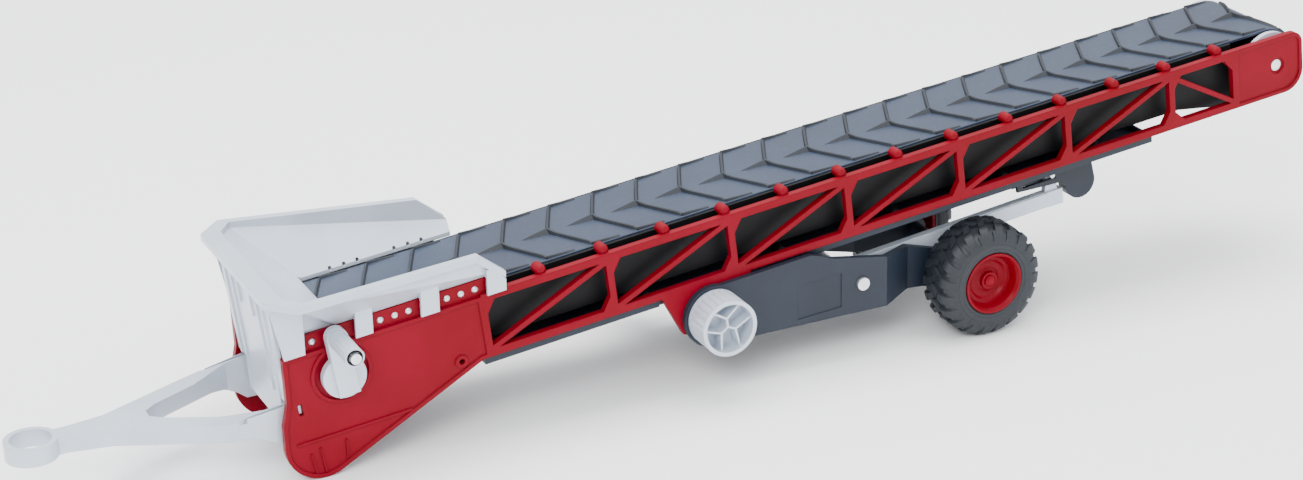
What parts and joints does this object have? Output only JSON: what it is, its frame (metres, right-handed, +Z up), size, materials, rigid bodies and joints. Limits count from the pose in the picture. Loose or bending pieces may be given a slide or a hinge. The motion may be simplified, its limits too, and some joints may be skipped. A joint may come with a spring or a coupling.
{
  "type": "portable farm belt conveyor toy",
  "caption": "Toy farm belt conveyor with a latticed red frame, chevron belt, feed hopper, drawbar, hand crank and a swinging wheel carriage.",
  "frame": {"origin": "centre of the hitch eye's bore, halfway up the eye", "axes": "+X runs level from the eye towards the delivery end, +Z is up out of the eye, +Y points to the side away from the crank"},
  "size_m": [0.7529, 0.1406, 0.1406],
  "materials": {
    "red_plastic": "moulded red plastic, satin gloss",
    "silver_plastic": "moulded silver-grey plastic with a faint metallic sheen",
    "anthracite_plastic": "moulded anthracite plastic, fine matt texture",
    "black_plastic": "moulded black plastic",
    "pale_plastic": "moulded pale grey plastic",
    "belt_rubber": "smooth flexible rubber belt with moulded cleats",
    "tyre_rubber": "soft moulded tyre with a lug tread",
    "steel": "plain drawn steel pins, shafts and screws"
  },
  "bodies": {
    "frame": {"side_frame_near": "red_plastic", "side_frame_far": "red_plastic", "hopper": "silver_plastic", "hopper_rivets_near": "steel", "hopper_rivets_far": "steel", "drawbar": "silver_plastic", "slide_bed": "black_plastic", "return_guides": "black_plastic", "cross_ties": "black_plastic", "tie_screws": "steel", "belt": "belt_rubber", "under_tray": "anthracite_plastic", "strut_guide": "anthracite_plastic"},
    "crank": {"tail_roller_drum": "black_plastic", "drive_shaft": "steel", "crank_arm": "silver_plastic", "shaft_cap": "silver_plastic", "grip_pin": "steel"},
    "crank_grip": {"grip_sleeve": "silver_plastic", "grip_ring": "black_plastic"},
    "head_roller": {"head_roller_drum": "black_plastic", "head_flange_near": "pale_plastic", "head_flange_far": "pale_plastic", "head_axle": "steel"},
    "wheel_carriage": {"swing_arm_near": "anthracite_plastic", "swing_arm_far": "anthracite_plastic", "arm_web": "anthracite_plastic", "axle_tube": "anthracite_plastic", "wheel_axle": "steel", "strut_pivot_rod": "steel"},
    "struts": {"strut_near": "silver_plastic", "strut_far": "silver_plastic", "strut_cross_pin": "steel"},
    "hand_wheels": {"pivot_shaft": "steel", "hand_wheel_near": "silver_plastic", "hand_wheel_far": "silver_plastic"},
    "near_wheel": {"tyre_near": "tyre_rubber", "rim_near": "red_plastic", "hub_cap_near": "red_plastic"},
    "far_wheel": {"tyre_far": "tyre_rubber", "rim_far": "red_plastic", "hub_cap_far": "red_plastic"}
  },
  "joints": [
    {"name": "head_roller_spin", "type": "hinge", "parent": "frame", "child": "head_roller", "pos_m": [0.71929, 0, 0.09016], "axis": [0, 1, 0], "continuous": true},
    {"name": "crank_turn", "type": "hinge", "parent": "frame", "child": "crank", "pos_m": [0.14566, 0, 0.02429], "axis": [0, 1, 0], "continuous": true},
    {"name": "grip_spin", "type": "hinge", "parent": "crank", "child": "crank_grip", "pos_m": [0.1423, 0, 0.04664], "axis": [0, 1, 0], "continuous": true},
    {"name": "carriage_swing", "type": "hinge", "parent": "frame", "child": "wheel_carriage", "pos_m": [0.35066, 0, 0.0124], "axis": [0, 1, 0], "range_deg": [0, 20]},
    {"name": "strut_fold", "type": "hinge", "parent": "wheel_carriage", "child": "struts", "pos_m": [0.44055, 0, 0.01273], "axis": [0, 1, 0], "range_deg": [-33, 0]},
    {"name": "hand_wheel_turn", "type": "hinge", "parent": "frame", "child": "hand_wheels", "pos_m": [0.35066, 0, 0.0124], "axis": [0, 1, 0], "continuous": true},
    {"name": "near_wheel_spin", "type": "hinge", "parent": "wheel_carriage", "child": "near_wheel", "pos_m": [0.51643, 0, 0.002], "axis": [0, 1, 0], "continuous": true},
    {"name": "far_wheel_spin", "type": "hinge", "parent": "wheel_carriage", "child": "far_wheel", "pos_m": [0.51643, 0, 0.002], "axis": [0, 1, 0], "continuous": true}
  ],
  "couplings": [
    {"joint": "crank_turn", "follows": "head_roller_spin", "ratio": 1},
    {"joint": "strut_fold", "follows": "carriage_swing", "ratio": -1.65}
  ]
}
